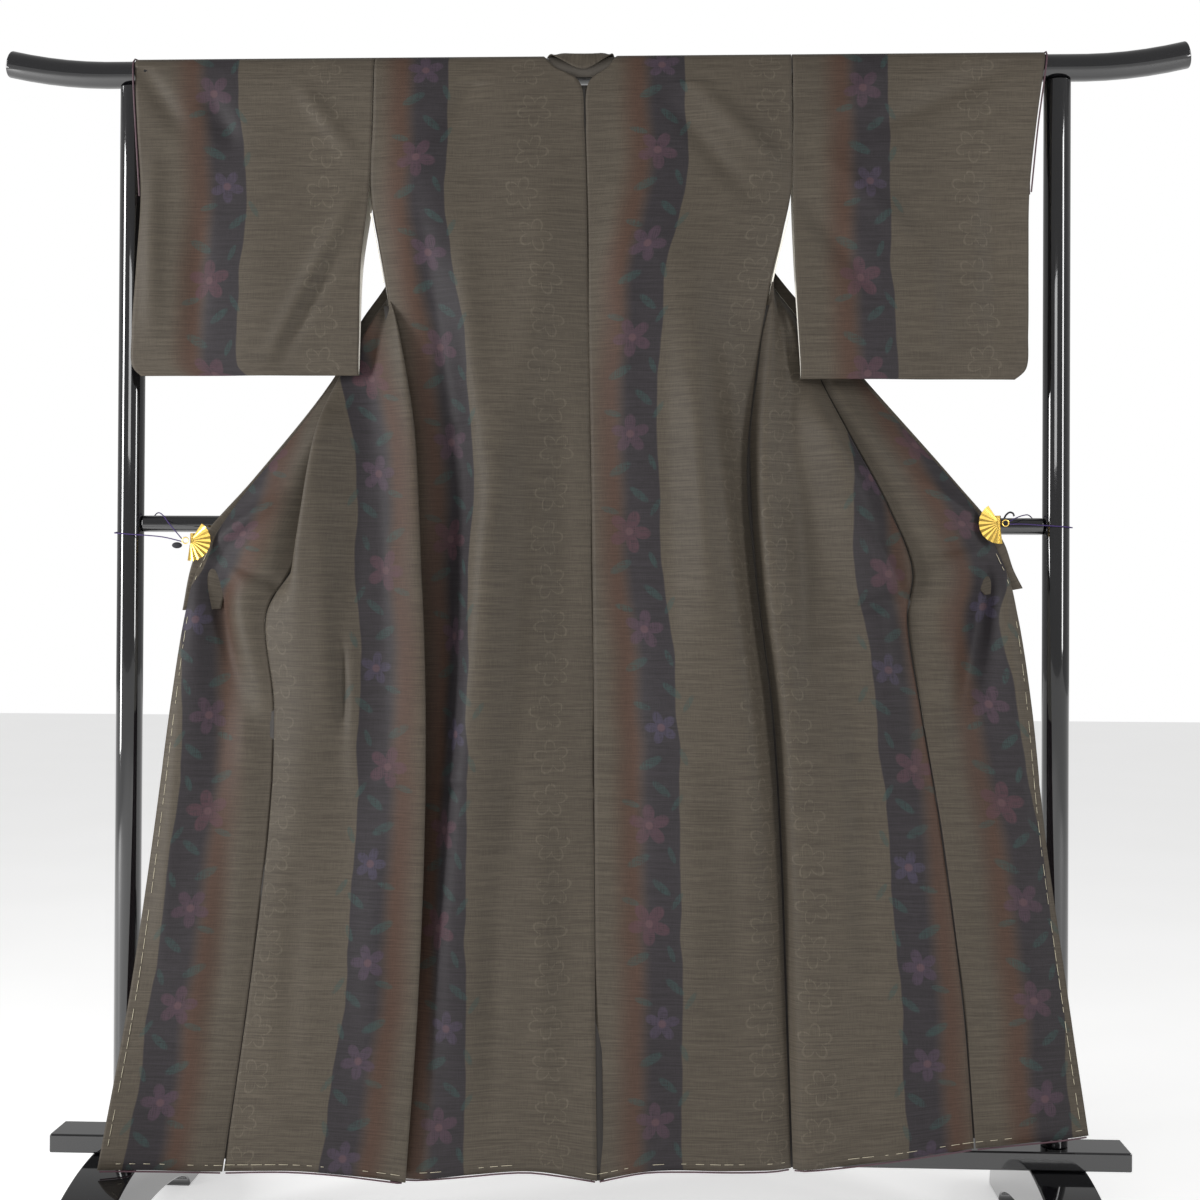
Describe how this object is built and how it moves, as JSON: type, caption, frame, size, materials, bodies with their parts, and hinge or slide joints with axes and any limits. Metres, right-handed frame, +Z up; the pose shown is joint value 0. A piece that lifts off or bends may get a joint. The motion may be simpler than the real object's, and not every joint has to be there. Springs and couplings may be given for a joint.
{
  "type": "silk kimono on a kimono stand",
  "caption": "Lined silk kimono hung open, back to the front, on a black lacquered kimono stand, with its fronts drawn aside by fan clips.",
  "frame": {"origin": "on the floor, midway between the feet and under the rail", "axes": "+Z up, -Y the side that the kimono's back faces, +X along the rail to the right seen from there"},
  "size_m": [1.7038, 0.536, 1.7221],
  "materials": {
    "silk": "fine slub twill silk, matt with a soft sheen",
    "plum_lining": "smooth silk lining, dull sheen",
    "white_lining": "smooth white silk lining",
    "black_lacquer": "black lacquer, high gloss",
    "gilt": "bright gilt",
    "purple_cord": "thin twisted cord",
    "black_strap": "black braid"
  },
  "bodies": {
    "root": {"body_left": "silk", "body_right": "silk", "overlap_left": "silk", "overlap_right": "silk", "sleeve_left": "silk", "sleeve_right": "silk", "collar": "silk", "hem_lining_back_left": "plum_lining", "hem_lining_back_right": "plum_lining", "hem_lining_front_left": "plum_lining", "hem_lining_front_right": "plum_lining", "hem_lining_overlap_left": "plum_lining", "hem_lining_overlap_right": "plum_lining", "cuff_lining_left": "plum_lining", "cuff_lining_right": "plum_lining", "armhole_lining_left": "white_lining", "armhole_lining_right": "white_lining", "top_rail": "black_lacquer", "mid_rail": "black_lacquer", "base_beam": "black_lacquer", "post_left": "black_lacquer", "post_right": "black_lacquer", "foot_left": "black_lacquer", "foot_right": "black_lacquer", "clip_fan_left": "gilt", "clip_fan_right": "gilt", "clip_jaw_left": "gilt", "clip_jaw_right": "gilt", "clip_hinge_left": "gilt", "clip_hinge_right": "gilt", "clip_ring_left": "gilt", "clip_ring_right": "gilt", "cord_left": "purple_cord", "cord_right": "purple_cord", "strap_bow_left": "black_strap", "strap_curl_right": "black_strap"}
  },
  "joints": []
}
